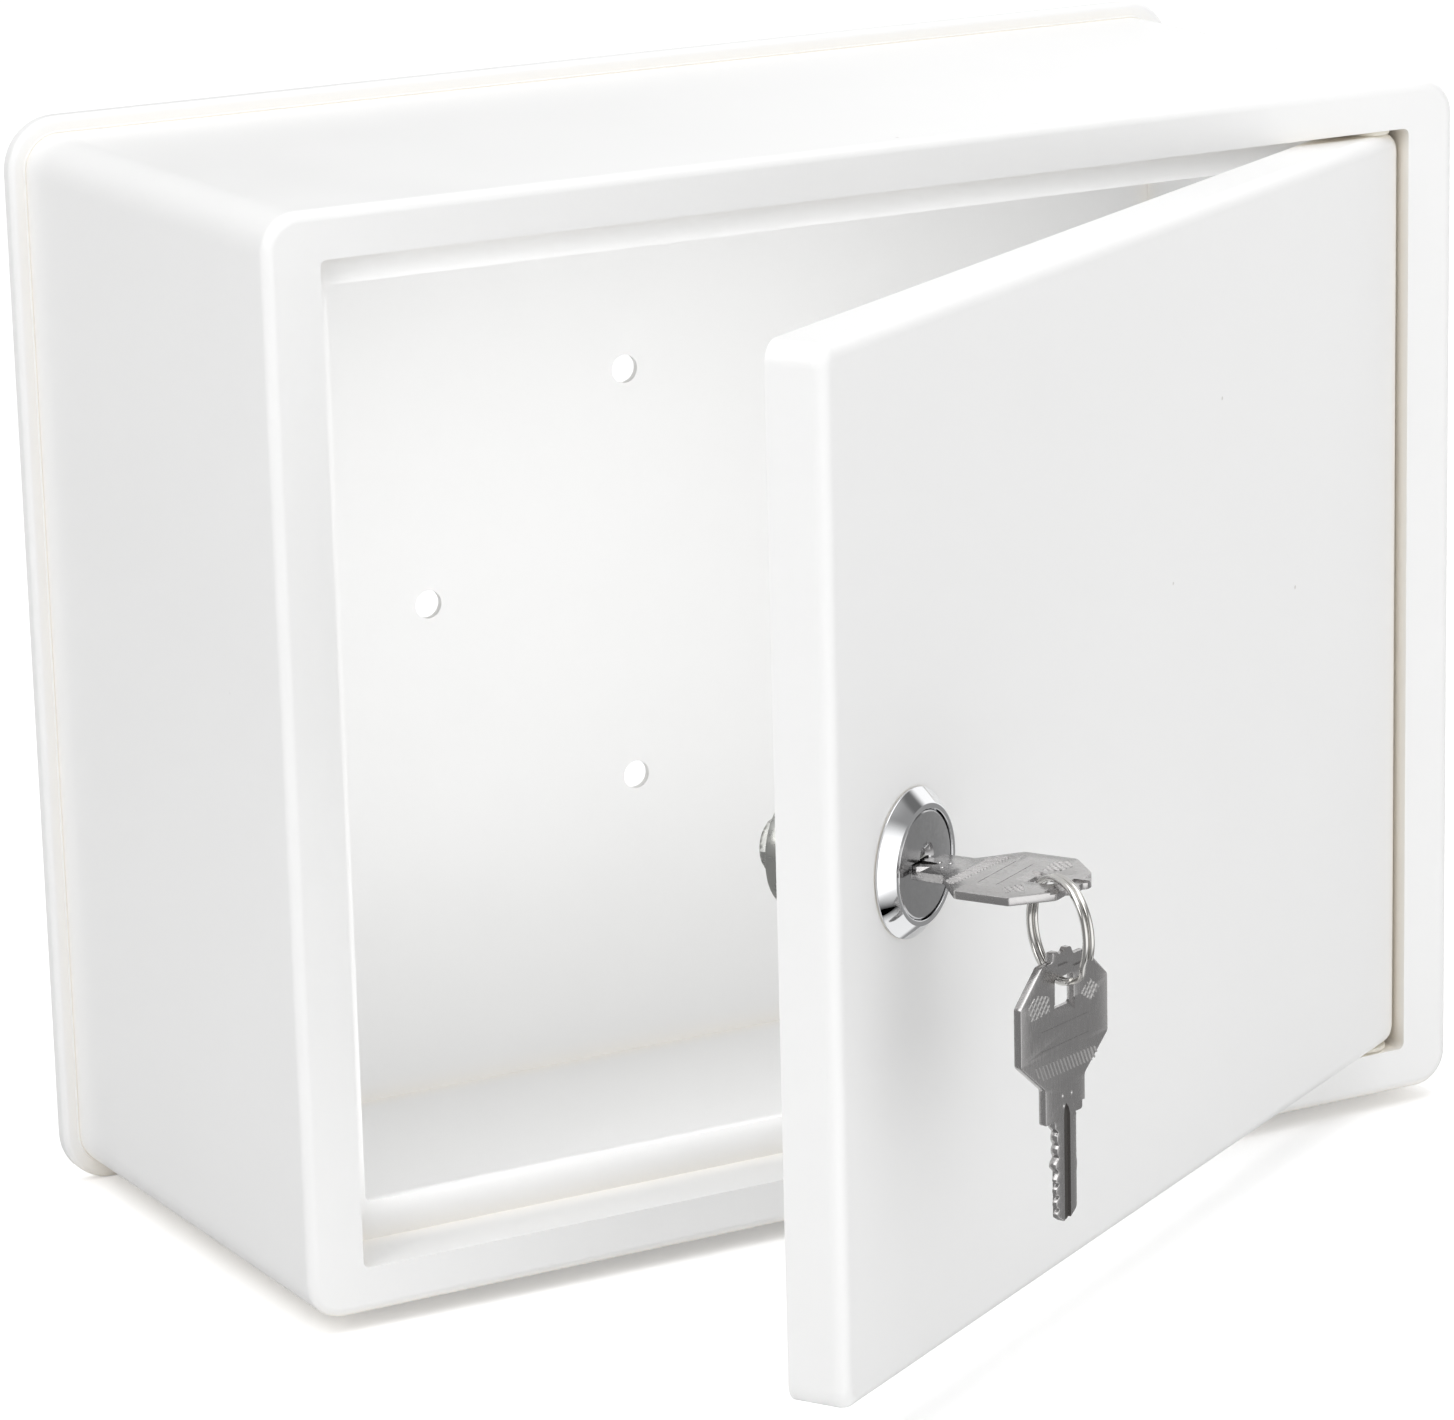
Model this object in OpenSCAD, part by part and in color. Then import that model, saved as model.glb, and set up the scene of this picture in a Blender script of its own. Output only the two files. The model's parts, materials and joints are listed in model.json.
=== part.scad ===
/* [Body] */
// Width of the body, left to right
body_w = 200; // [190:1:230]
// Height of the body
body_h = 161; // [150:1:190]
// Depth from the wall to the front face
body_d = 85; // [80:1:120]
// Radius of the four long edges of the body
body_r = 5.5; // [4:0.5:10]
// Thickness of the body sheet
body_t = 1.2; // [0.8:0.1:1.6]
// Rounding of the edge round the front face
front_round = 1.5; // [0.8:0.1:2.5]

/* [Front opening] */
// Face width left and right of the opening
face_side = 8.5; // [7:0.5:14]
// Face width above and below the opening
face_end = 7; // [7:0.5:12]
// Depth of the recess the door closes into
recess_d = 10.8; // [10.8:0.1:14]
// Width of the stop lip round the recess
lip_w = 5.8; // [4:0.1:7]

/* [Back panel] */
// How far the rear rim stands out past the body
rim_out = 2.5; // [1:0.1:4]
// Depth of the rear rim
rim_d = 2.4; // [2:0.1:4]
// Diameter of the wall screw holes
wall_hole_d = 4.5; // [3.5:0.1:6]
// Distance between the left and right wall holes
wall_pitch_x = 72; // [50:1:110]
// Distance between the upper and lower wall holes
wall_pitch_z = 66.5; // [50:0.5:90]

/* [Door] */
// Angle the door stands open at
door_open = 30.6; // [15:0.1:60]
// Depth of the door pan
door_d = 8.8; // [8:0.1:9]
// Thickness of the door sheet
door_t = 1.2; // [0.8:0.1:1.4]
// Gap left and right of the closed door
door_gap_x = 1.2; // [1.2:0.1:2.2]
// Gap above and below the door
door_gap_z = 0.75; // [0.7:0.05:1.2]
// Rounding of the door edges
door_round = 2; // [1.6:0.1:2.5]
// Corner radius of the door
door_r = 3; // [2.6:0.1:5]

/* [Hinge] */
// Diameter of the hinge pins
pin_d = 4; // [3:0.1:4.2]
// Clearance of the pins in the door, on the radius
pin_fit = 0.06; // [0.03:0.01:0.1]
// Reach of the pins past the edge of the door
pin_in = 5; // [3:0.5:8]

/* [Lock] */
// Distance from the free edge of the door to the lock axis
lock_edge = 20.8; // [18:0.1:24]
// Height of the lock axis over the middle of the door
lock_z = -1.1; // [-20:0.1:20]
// Diameter of the bezel at the door
bezel_d = 20.6; // [20:0.1:24]
// Diameter of the ring at the front of the bezel
bezel_ring_d = 16.2; // [16.2:0.1:18]
// Height of the bezel over the door
bezel_out = 2.3; // [2.2:0.1:3.5]
// Diameter of the threaded barrel
barrel_d = 18; // [16:0.5:19]
// Distance over the two flats of the barrel
barrel_flats = 16; // [14:0.5:17]
// Length of the barrel behind the door face
barrel_l = 14.8; // [14:0.1:16]
// Diameter of the plug
plug_d = 11; // [10:0.1:11.5]
// Clearance of the plug in the barrel, on the radius
plug_fit = 0.05; // [0.02:0.01:0.1]
// Diameter of the face of the plug
plug_face_d = 15; // [13:0.1:15]
// Reach of the cam from the lock axis
cam_reach = 23; // [19:0.5:26]
// Width of the cam
cam_w = 12; // [9:0.5:15]

/* [Keys] */
// Width of the key bow
bow_w = 20.2; // [17:0.1:22]
// Length of the key bow
bow_l = 17.1; // [16:0.1:19]
// Width of the key blade
blade_w = 5; // [4.6:0.1:5.4]
// Length of the key blade
blade_l = 14.5; // [12:0.1:14.5]
// Thickness of the keys
key_t = 1.2; // [1.1:0.1:1.4]
// Radius of the key ring to the middle of its wire
ring_r = 7; // [7:0.1:9]
// Diameter of the key ring wire
wire_d = 0.95; // [0.8:0.05:1]

/* [Hidden] */

$fn = 64;
eps = 0.01;

// Opening, recess and stop lip
open_w = body_w - 2 * face_side;
open_h = body_h - 2 * face_end;
open_r = 1;
lip_d = body_d - recess_d;

// Back panel
plate_t = 1.2;
rim_gap = 0.3;
rim_round = 0.9;

// Door and its pivot line, in the closed position
door_w = open_w - 2 * door_gap_x;
door_h = open_h - 2 * door_gap_z;
pivot_in = 4;
pivot_back = 4.2;
pivot_x = door_w / 2 - pivot_in;
pivot_y = -body_d + pivot_back;
pin_head_d = 5.6;
pin_head_t = 1.5;
washer_t = door_gap_z - 0.05;

// Lock, measured inward from the front of the door
lock_x = -door_w / 2 + lock_edge;
nut_af = 22;
nut_t = 3.5;
washer_lock_t = 0.8;
stop_t = 1;
stop_tab_w = 4;
stop_ring_r = 7.7;
cam_t = 2;
cam_from = barrel_l + stop_t + 0.1;
cam_hub_d = 16;
cam_crank = 2.5;
tail_sq = 6;
tail_l = 2.9;
head_t = 1;
face_drop = 0.15;
recess_face_d = bezel_ring_d - 0.8;
slot_w = blade_w + 0.3;
slot_t = key_t + 0.3;
wafer_n = 6;
wafer_t = 0.6;
wafer_pitch = 1.8;
wafer_h = 5;
spring_z = 1.95;

// Key, measured outward from the front of the door
face_out = bezel_out - face_drop;
key_off = 0.8;
key_gap = 0.6;
shoulder = face_out + key_gap;
shank_w = 9.2;
shank_l = 5;
bow_from = shoulder + shank_l;
bow_to = bow_from + bow_l;
bow_low_l = 4.5;
bow_mid_l = 8;
bow_top_w = 10.2;
tab_w = 5;
tab_l = 1.3;
hole_w = 4.3;
hole_l = 4.2;
hole_to = bow_to - 2.4;
hole_mid = hole_to - hole_l / 2;
cut_from = 1.66;
wafer_from = cut_from + wafer_pitch - shoulder;

// Key ring and the key that hangs from it
ring_turn = 31;
ring_along = 3.9;
ring_drop = ring_r - 1.5;
ring_x = -(key_off + ring_along * sin(ring_turn));
ring_y = -(hole_mid + ring_along * cos(ring_turn));
spare_turn = 172.5;
spare_rest = wire_d / 2 + 0.28;

// ---- Placing ----

// From the closed door to the open one
module door_place() {
    translate([pivot_x, pivot_y, 0])
        rotate([0, 0, door_open])
            translate([-pivot_x, -pivot_y, 0])
                children();
}

// Lock axis along +Y, zero at the front of the door
module lock_place() {
    door_place()
        translate([lock_x, -body_d, lock_z])
            children();
}

// Front-view shape pushed out from the wall, starting at depth "from"
module out_from(from) {
    translate([0, -from, 0])
        rotate([90, 0, 0])
            children();
}

// Turned shape along the lock axis, starting at depth "from"
module in_from(from) {
    translate([0, from, 0])
        rotate([-90, 0, 0])
            children();
}

// ---- Shapes ----

// Rectangle with round corners
module round_rect(w, h, r) {
    square([w - 2 * r, h], center = true);
    square([w, h - 2 * r], center = true);
    for (sx = [-1, 1], sy = [-1, 1])
        translate([sx * (w / 2 - r), sy * (h / 2 - r)])
            circle(r);
}

module plate(w, h, t, r) {
    linear_extrude(t)
        round_rect(w, h, r);
}

// Half of an edge profile, rounded at its outer top corner
module edge_profile(r, d, e) {
    square([r - e, d]);
    square([r, d - e]);
    translate([r - e, d - e])
        intersection() {
            circle(e);
            square(e);
        }
}

// Full profile across a block, rounded at both top corners
module bar_profile(w, d, e) {
    translate([-w / 2, 0])
        square([w, d - e]);
    translate([-w / 2 + e, 0])
        square([w - 2 * e, d]);
    for (s = [-1, 1])
        translate([s * (w / 2 - e), d - e])
            circle(e);
}

// Block with round corners r and a rounded top edge e
module soft_block(w, h, d, r, e) {
    for (sx = [-1, 1], sy = [-1, 1])
        translate([sx * (w / 2 - r), sy * (h / 2 - r), 0])
            rotate_extrude()
                edge_profile(r, d, e);
    translate([0, h / 2 - r, 0])
        rotate([90, 0, 0])
            linear_extrude(h - 2 * r)
                bar_profile(w, d, e);
    translate([-w / 2 + r, 0, 0])
        rotate([90, 0, 90])
            linear_extrude(w - 2 * r)
                bar_profile(h, d, e);
}

module ring_shape(r_out, r_in, t) {
    difference() {
        cylinder(h = t, r = r_out);
        translate([0, 0, -eps])
            cylinder(h = t + 2 * eps, r = r_in);
    }
}

// ---- Body ----

module body_shell() {
    color("whitesmoke")
        difference() {
            out_from(plate_t)
                soft_block(body_w, body_h, body_d - plate_t, body_r, front_round);
            out_from(plate_t - eps)
                soft_block(body_w - 2 * body_t, body_h - 2 * body_t,
                    body_d - plate_t - body_t + eps, body_r - body_t, 0.5);
            out_from(body_d - 2 * body_t)
                plate(open_w, open_h, 3 * body_t, open_r);
        }
}

// Recess behind the face, with the lip the door stops against
module door_frame() {
    reveal_from = lip_d - body_t;
    color("gainsboro")
        difference() {
            out_from(reveal_from)
                plate(open_w + 2 * body_t, open_h + 2 * body_t, recess_d, open_r + body_t);
            out_from(lip_d)
                plate(open_w, open_h, recess_d + body_t, open_r);
            out_from(reveal_from - eps)
                plate(open_w - 2 * lip_w, open_h - 2 * lip_w, recess_d, open_r);
            for (s = [-1, 1])
                translate([pivot_x, pivot_y, s * (open_h / 2 + body_t / 2)])
                    cylinder(h = 2 * body_t, d = pin_d, center = true);
        }
}

module back_panel() {
    w = body_w + 2 * rim_out;
    h = body_h + 2 * rim_out;
    color("white")
        difference() {
            out_from(0)
                soft_block(w, h, rim_d, body_r + rim_out, rim_round);
            out_from(plate_t)
                plate(body_w + 2 * rim_gap, body_h + 2 * rim_gap, rim_d, body_r + rim_gap);
            for (s = [-1, 1]) {
                translate([s * wall_pitch_x / 2, 0, 0])
                    wall_hole();
                translate([0, 0, s * wall_pitch_z / 2])
                    wall_hole();
            }
        }
}

module wall_hole() {
    out_from(-eps)
        cylinder(h = rim_d, d = wall_hole_d);
}

// Headed pin riveted through the recess, its plain end down in the door
module hinge_pin() {
    color("silver") {
        translate([0, 0, open_h / 2 + body_t])
            cylinder(h = pin_head_t, d = pin_head_d);
        translate([0, 0, door_h / 2 - pin_in])
            cylinder(h = door_gap_z + pin_in + body_t + pin_head_t / 2, d = pin_d);
    }
}

module hinge_pin_upper() {
    translate([pivot_x, pivot_y, 0])
        hinge_pin();
}

module hinge_pin_lower() {
    translate([pivot_x, pivot_y, 0])
        mirror([0, 0, 1])
            hinge_pin();
}

// ---- Door ----

module door_panel() {
    color("white")
        door_place()
            difference() {
                out_from(body_d - door_d)
                    soft_block(door_w, door_h, door_d, door_r, door_round);
                out_from(body_d - door_d - eps)
                    soft_block(door_w - 2 * door_t, door_h - 2 * door_t,
                        door_d - door_t + eps, door_r - door_t, door_round - door_t + 0.2);
                translate([lock_x, 0, lock_z])
                    out_from(body_d - 2 * door_t)
                        barrel_section(barrel_d + 0.2, barrel_flats + 0.2, 3 * door_t);
                for (s = [-1, 1])
                    translate([pivot_x, pivot_y, s * (door_h / 2 - door_t / 2)])
                        cylinder(h = 2 * door_t, r = pin_d / 2 + pin_fit, center = true);
            }
}

// Spacers that keep the door clear of the recess, above and below
module hinge_washers() {
    color("ivory")
        door_place()
            translate([pivot_x, pivot_y, 0])
                for (s = [-1, 1])
                    translate([0, 0, s * (door_h + washer_t) / 2 - washer_t / 2])
                        ring_shape(3.7, pin_d / 2 + pin_fit, washer_t);
}

// ---- Lock ----

// Round bar with two flats
module barrel_section(d, flats, l) {
    intersection() {
        cylinder(h = l, d = d);
        translate([-d, -flats / 2, 0])
            cube([2 * d, flats, l]);
    }
}

module lock_housing() {
    color("silver")
        lock_place()
            difference() {
                union() {
                    in_from(-bezel_out)
                        cylinder(h = bezel_out - 0.4, d1 = bezel_ring_d, d2 = bezel_d);
                    in_from(-0.4)
                        cylinder(h = 0.4, d = bezel_d);
                    in_from(-0.4)
                        barrel_section(barrel_d, barrel_flats, barrel_l + 0.4);
                    stop_lug();
                }
                in_from(-bezel_out - eps)
                    cylinder(h = head_t + face_drop + 0.1, d = recess_face_d);
                in_from(-bezel_out - eps)
                    cylinder(h = bezel_out + barrel_l + 1, r = plug_d / 2 + plug_fit);
            }
}

// Half ring on the end of the barrel that the tab of the stop washer runs against
module stop_lug() {
    in_from(barrel_l - eps)
        difference() {
            barrel_section(barrel_d, barrel_flats, stop_t - 0.1 + eps);
            cylinder(h = 3 * stop_t, r = stop_ring_r, center = true);
            translate([-stop_tab_w / 2 - 0.05, -barrel_d, -stop_t])
                cube([2 * barrel_d, 2 * barrel_d, 3 * stop_t]);
        }
}

// Toothed washer between the door and the nut
module lock_washer() {
    teeth = 16;
    color("gray")
        lock_place()
            in_from(door_t)
                difference() {
                    union() {
                        cylinder(h = washer_lock_t, d = barrel_d + 4);
                        for (i = [0 : teeth - 1])
                            rotate([0, 0, i * 360 / teeth])
                                translate([barrel_d / 2 + 1.6, -0.7, 0])
                                    cube([1.6, 1.4, washer_lock_t]);
                    }
                    translate([0, 0, -eps])
                        cylinder(h = washer_lock_t + 2 * eps, d = barrel_d + 0.3);
                }
}

module lock_nut() {
    color("silver")
        lock_place()
            in_from(door_t + washer_lock_t)
                difference() {
                    intersection() {
                        cylinder(h = nut_t, d = nut_af / cos(30), $fn = 6);
                        cylinder(h = nut_t, d1 = nut_af + 2.8, d2 = nut_af + 1.2);
                    }
                    translate([0, 0, -eps])
                        cylinder(h = nut_t + 2 * eps, d = barrel_d + 0.1);
                }
}

// Plug with its face, keyway, wafer slots and square tail
module lock_plug() {
    color("dimgray")
        lock_place()
            difference() {
                union() {
                    in_from(-face_out)
                        cylinder(h = 0.2, d1 = plug_face_d - 0.4, d2 = plug_face_d);
                    in_from(-face_out + 0.2)
                        cylinder(h = head_t - 0.2, d = plug_face_d);
                    in_from(-face_out)
                        cylinder(h = face_out + barrel_l, d = plug_d);
                    translate([-tail_sq / 2, barrel_l - eps, -tail_sq / 2])
                        cube([tail_sq, tail_l + eps, tail_sq]);
                }
                keyway();
                wafer_slots();
                in_from(barrel_l - 1.5)
                    cylinder(h = 6, d = 3.3);
            }
}

// Slot for the blade, the funnel over its mouth and the pocket of the shutter
module keyway() {
    translate([-key_off - slot_w / 2, -face_out - eps, -slot_t / 2])
        cube([slot_w, face_out + barrel_l - 1.9, slot_t]);
    in_from(-face_out - eps)
        translate([0.4, -1, 0])
            cylinder(h = 0.7, r1 = 1.9, r2 = 1.2);
    translate([-1.3, -face_out + 0.3, 0])
        cube([2.6, 0.9, slot_t / 2 + 0.3]);
}

module wafer_slots() {
    for (i = [0 : wafer_n - 1])
        translate([0, wafer_from + i * wafer_pitch, 0])
            cube([2 * plug_d, wafer_t + 0.1, wafer_h + 0.1], center = true);
}

// Spring flap that closes the keyway when the key is out
module keyway_shutter() {
    color("darkgray")
        lock_place()
            translate([-1.2, -face_out + 0.4, slot_t / 2 + 0.1])
                cube([2.4, 0.8, 0.2]);
}

// Sliding wafers with a window for the key blade
module wafer_tumblers() {
    window_w = blade_w + 0.5;
    window_h = key_t + 0.5;
    color("goldenrod")
        lock_place()
            for (i = [0 : wafer_n - 1])
                translate([0, wafer_from + i * wafer_pitch, 0])
                    difference() {
                        cube([9, wafer_t, wafer_h], center = true);
                        translate([-key_off, 0, 0])
                            cube([window_w, 2 * wafer_t, window_h], center = true);
                        translate([3.4, 0, spring_z])
                            cube([2.4, 2 * wafer_t, 0.9], center = true);
                    }
}

// One small coil for each wafer, in the notch beside its window
module wafer_springs() {
    coils = 4;
    color("lightgray")
        lock_place()
            for (i = [0 : wafer_n - 1])
                translate([2.6, wafer_from + i * wafer_pitch, spring_z])
                    rotate([0, 90, 0])
                        for (c = [0 : coils - 1])
                            translate([0, 0, 0.15 + c * 0.18])
                                rotate_extrude($fn = 24)
                                    translate([0.2, 0])
                                        circle(0.09, $fn = 16);
}

// Washer on the square tail that limits the turn of the plug
module cam_stop_washer() {
    color("silver")
        lock_place()
            in_from(barrel_l)
                difference() {
                    union() {
                        cylinder(h = stop_t, r = stop_ring_r - 0.4);
                        translate([-stop_tab_w / 2, 0, 0])
                            cube([stop_tab_w, 8.6, stop_t]);
                    }
                    translate([0, 0, stop_t / 2])
                        cube([tail_sq, tail_sq, 2 * stop_t], center = true);
                }
}

// Cranked cam, pointing away from the free edge of the door
module cam() {
    crank_from = barrel_d / 2 + 0.2;
    crank_to = crank_from + 3;
    tip_x = cam_reach - cam_w / 2;
    color("silver")
        lock_place()
            difference() {
                union() {
                    in_from(cam_from)
                        cylinder(h = cam_t, d = cam_hub_d);
                    translate([0, 0, -cam_w / 2])
                        linear_extrude(cam_w)
                            polygon([
                                [0, cam_from],
                                [crank_from, cam_from],
                                [crank_to, cam_from - cam_crank],
                                [tip_x, cam_from - cam_crank],
                                [tip_x, cam_from - cam_crank + cam_t],
                                [crank_to + 0.4, cam_from - cam_crank + cam_t],
                                [crank_from + 0.4, cam_from + cam_t],
                                [0, cam_from + cam_t]
                            ]);
                    translate([tip_x, 0, 0])
                        in_from(cam_from - cam_crank)
                            cylinder(h = cam_t, d = cam_w);
                }
                translate([0, cam_from + cam_t / 2, 0])
                    cube([tail_sq + 0.1, 2 * cam_t, tail_sq + 0.1], center = true);
            }
}

module cam_spring_washer() {
    color("gray")
        lock_place()
            in_from(cam_from + cam_t)
                difference() {
                    cylinder(h = 0.9, d = 9);
                    translate([0, 0, -eps])
                        cylinder(h = 1, d = 4.2);
                    translate([0, -0.3, -eps])
                        cube([6, 0.6, 1]);
                }
}

// Hexagon head screw into the tail of the plug
module cam_screw() {
    color("silver")
        lock_place() {
            in_from(cam_from + cam_t + 0.9)
                cylinder(h = 2.6, d = 7 / cos(30), $fn = 6);
            in_from(barrel_l + 0.2)
                cylinder(h = cam_from + cam_t + 1.2 - barrel_l, d = 3.3);
        }
}

// ---- Keys ----

// Outline from the tip of the blade to the tab of the bow, bow pointing to -Y
module key_outline() {
    side = bow_w / 2;
    wide_from = bow_from + bow_low_l;
    wide_to = wide_from + bow_mid_l;
    tip = blade_l - shoulder;
    polygon([
        [-shank_w / 2, -shoulder],
        [-shank_w / 2, -bow_from],
        [-side, -wide_from],
        [-side, -wide_to],
        [-bow_top_w / 2, -bow_to],
        [-tab_w / 2, -bow_to],
        [-tab_w / 2 + 0.5, -bow_to - tab_l],
        [-0.9, -bow_to - tab_l],
        [-0.6, -bow_to - tab_l + 0.6],
        [0.6, -bow_to - tab_l + 0.6],
        [0.9, -bow_to - tab_l],
        [tab_w / 2 - 0.5, -bow_to - tab_l],
        [tab_w / 2, -bow_to],
        [bow_top_w / 2, -bow_to],
        [side, -wide_to],
        [side, -wide_from],
        [shank_w / 2, -bow_from],
        [shank_w / 2, -shoulder],
        [blade_w / 2, -shoulder],
        [blade_w / 2, tip - 2],
        [blade_w / 2 - 1.5, tip],
        [-blade_w / 2 + 1.9, tip],
        [-blade_w / 2, tip - 1.6],
        [-blade_w / 2, -shoulder]
    ]);
}

// Cuts on one edge of the blade, the first one in front of the wafers
module bitting() {
    for (i = [0 : wafer_n])
        translate([blade_w / 2 + 0.25 - 0.18 * ((i * 3) % 4), cut_from - shoulder + i * wafer_pitch, 0])
            rotate([0, 0, 45])
                cube([1, 1, 2 * key_t], center = true);
}

// Groove along the blade, running out to a point on the shank
module blade_groove() {
    groove_w = 1.4;
    translate([-0.3, -shoulder, key_t / 2 - 0.45])
        linear_extrude(key_t)
            polygon([
                [-groove_w / 2, blade_l + 1],
                [-groove_w / 2, -0.1],
                [0.2, -1.8],
                [groove_w / 2, -0.1],
                [groove_w / 2, blade_l + 1]
            ]);
}

module key_solid() {
    difference() {
        linear_extrude(key_t, center = true)
            key_outline();
        translate([0, -hole_mid, 0])
            linear_extrude(2 * key_t, center = true)
                round_rect(hole_w, hole_l, 0.5);
        blade_groove();
        bitting();
    }
}

module key() {
    color("silver")
        lock_place()
            translate([-key_off, 0, 0])
                key_solid();
}

// Two turns of wire lying side by side
module key_ring() {
    color("silver")
        lock_place()
            translate([ring_x, ring_y, -ring_drop])
                rotate([90, 0, 90 - ring_turn])
                    for (s = [-1, 1])
                        translate([0, 0, s * (wire_d / 2 - 0.01)])
                            rotate_extrude()
                                translate([ring_r, 0])
                                    circle(d = wire_d, $fn = 32);
}

// Second key, hanging with the top of its hole on the ring
module spare_key() {
    color("silver")
        lock_place()
            translate([ring_x, ring_y, -ring_drop - ring_r + spare_rest])
                rotate([0, 0, spare_turn])
                    rotate([-90, 0, 0])
                        translate([0, hole_to, 0])
                            key_solid();
}

body_shell();
door_frame();
back_panel();
hinge_pin_upper();
hinge_pin_lower();
door_panel();
hinge_washers();
lock_housing();
lock_washer();
lock_nut();
lock_plug();
keyway_shutter();
wafer_tumblers();
wafer_springs();
cam_stop_washer();
cam();
cam_spring_washer();
cam_screw();
key();
key_ring();
spare_key();
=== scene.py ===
import json
import math

import bmesh
import bpy
from mathutils import Matrix, Vector


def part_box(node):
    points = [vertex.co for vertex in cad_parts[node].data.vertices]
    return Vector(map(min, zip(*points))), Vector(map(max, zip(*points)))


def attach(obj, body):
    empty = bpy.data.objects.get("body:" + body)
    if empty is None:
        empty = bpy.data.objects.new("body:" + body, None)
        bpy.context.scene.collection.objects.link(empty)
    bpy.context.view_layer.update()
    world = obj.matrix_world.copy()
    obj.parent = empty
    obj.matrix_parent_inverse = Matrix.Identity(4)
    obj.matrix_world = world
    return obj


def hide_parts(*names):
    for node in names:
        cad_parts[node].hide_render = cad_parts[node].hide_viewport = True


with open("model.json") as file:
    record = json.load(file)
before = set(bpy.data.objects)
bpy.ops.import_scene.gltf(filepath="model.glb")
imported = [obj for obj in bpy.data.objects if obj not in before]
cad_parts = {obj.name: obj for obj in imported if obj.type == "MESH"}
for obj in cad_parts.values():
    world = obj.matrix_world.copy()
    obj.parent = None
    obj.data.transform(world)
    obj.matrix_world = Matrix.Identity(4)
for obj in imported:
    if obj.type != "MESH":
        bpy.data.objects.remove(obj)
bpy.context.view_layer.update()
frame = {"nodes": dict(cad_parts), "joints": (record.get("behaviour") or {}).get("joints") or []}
cad = frame["nodes"]
joints = {j["name"]: j for j in frame["joints"]}
scene = bpy.context.scene


# ---- Camera ----
# A long lens a metre off, to the left of the box and a little above it.

YAW, PITCH, ROLL = (math.radians(a) for a in (30.183, 15.509, -1.142))
CAMERA_RIGHT, CAMERA_UP, CAMERA_BACK = 0.035621, -0.033078, 0.961352
FRAME_W, FRAME_H, SENSOR_W = 1454, 1420, 36
FOCAL_PX, AXIS_X, AXIS_Y = 6020.5, 850.2, 779.25

forward = Vector((math.sin(YAW) * math.cos(PITCH), math.cos(YAW) * math.cos(PITCH), -math.sin(PITCH)))
level = forward.cross(Vector((0, 0, 1))).normalized()
upward = level.cross(forward)
right = level * math.cos(ROLL) + upward * math.sin(ROLL)
up = upward * math.cos(ROLL) - level * math.sin(ROLL)
camera = bpy.data.objects.new("camera", bpy.data.cameras.new("camera"))
scene.collection.objects.link(camera)
camera.matrix_world = Matrix((right, up, -forward)).transposed().to_4x4()
camera.location = CAMERA_RIGHT * right + CAMERA_UP * up - CAMERA_BACK * forward
camera.data.sensor_width = SENSOR_W
camera.data.lens = FOCAL_PX / FRAME_W * SENSOR_W
camera.data.shift_x = (FRAME_W / 2 - AXIS_X) / FRAME_W
camera.data.shift_y = (AXIS_Y - FRAME_H / 2) / FRAME_W
scene.camera = camera
scene.view_settings.view_transform = "Standard"


# ---- Floor and light ----
# White sweep under the box, lamps above, at the left and inside, and a dim room with soft
# bright and dark panels for the metal to mirror.

# Direction, cosines where the panel begins and where it is full, and its level
PANELS = [
    ((0.2, -0.95, -0.05), 0.62, 0.93, 1.26),
    ((0, 0, 1), 0.62, 0.92, 0.65),
    ((0.85, 0.5, 0.15), 0.8, 0.93, 0.9),
    ((0.5, -0.2, -0.9), 0.87, 0.93, 0.7),
    ((0.28, -0.7, -0.65), 0.93, 0.985, -0.62),
    ((0.86, -0.07, 0.51), 0.95, 0.99, -0.16)]
ROOM_LEVEL, FLOOR_WHITE, FLOOR_LIFT = 0.34, 0.95, 0.3


def shader_tree(owner):
    owner.use_nodes = True
    owner.node_tree.nodes.clear()
    return owner.node_tree


def mapped(tree, value, low, high, to_low=0.0, to_high=1.0, smooth=False):
    """Output that maps a value from one range to another."""
    node = tree.nodes.new("ShaderNodeMapRange")
    node.interpolation_type = "SMOOTHSTEP" if smooth else "LINEAR"
    for label, number in (("From Min", low), ("From Max", high), ("To Min", to_low), ("To Max", to_high)):
        node.inputs[label].default_value = number
    tree.links.new(value, node.inputs["Value"])
    return node.outputs["Result"]


def panel(tree, room, direction, towards, begins, full, light):
    """Room with one more soft-edged panel in this direction."""
    dot = tree.nodes.new("ShaderNodeVectorMath")
    dot.operation = "DOT_PRODUCT"
    dot.inputs[1].default_value = Vector(towards).normalized()
    tree.links.new(direction, dot.inputs[0])
    add = tree.nodes.new("ShaderNodeMath")
    add.operation = "ADD"
    tree.links.new(room, add.inputs[0])
    glow = mapped(tree, dot.outputs["Value"], begins, full, to_high=light, smooth=True)
    tree.links.new(glow, add.inputs[1])
    return add.outputs[0]


def softbox(name, place, aim, size, watts):
    light = bpy.data.lights.new(name, "AREA")
    light.shape = "RECTANGLE"
    light.size, light.size_y = size
    light.energy = watts
    lamp = bpy.data.objects.new(name, light)
    scene.collection.objects.link(lamp)
    lamp.location = place
    lamp.rotation_euler = (Vector(aim) - Vector(place)).to_track_quat("-Z", "Y").to_euler()
    lamp.visible_camera = False


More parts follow.
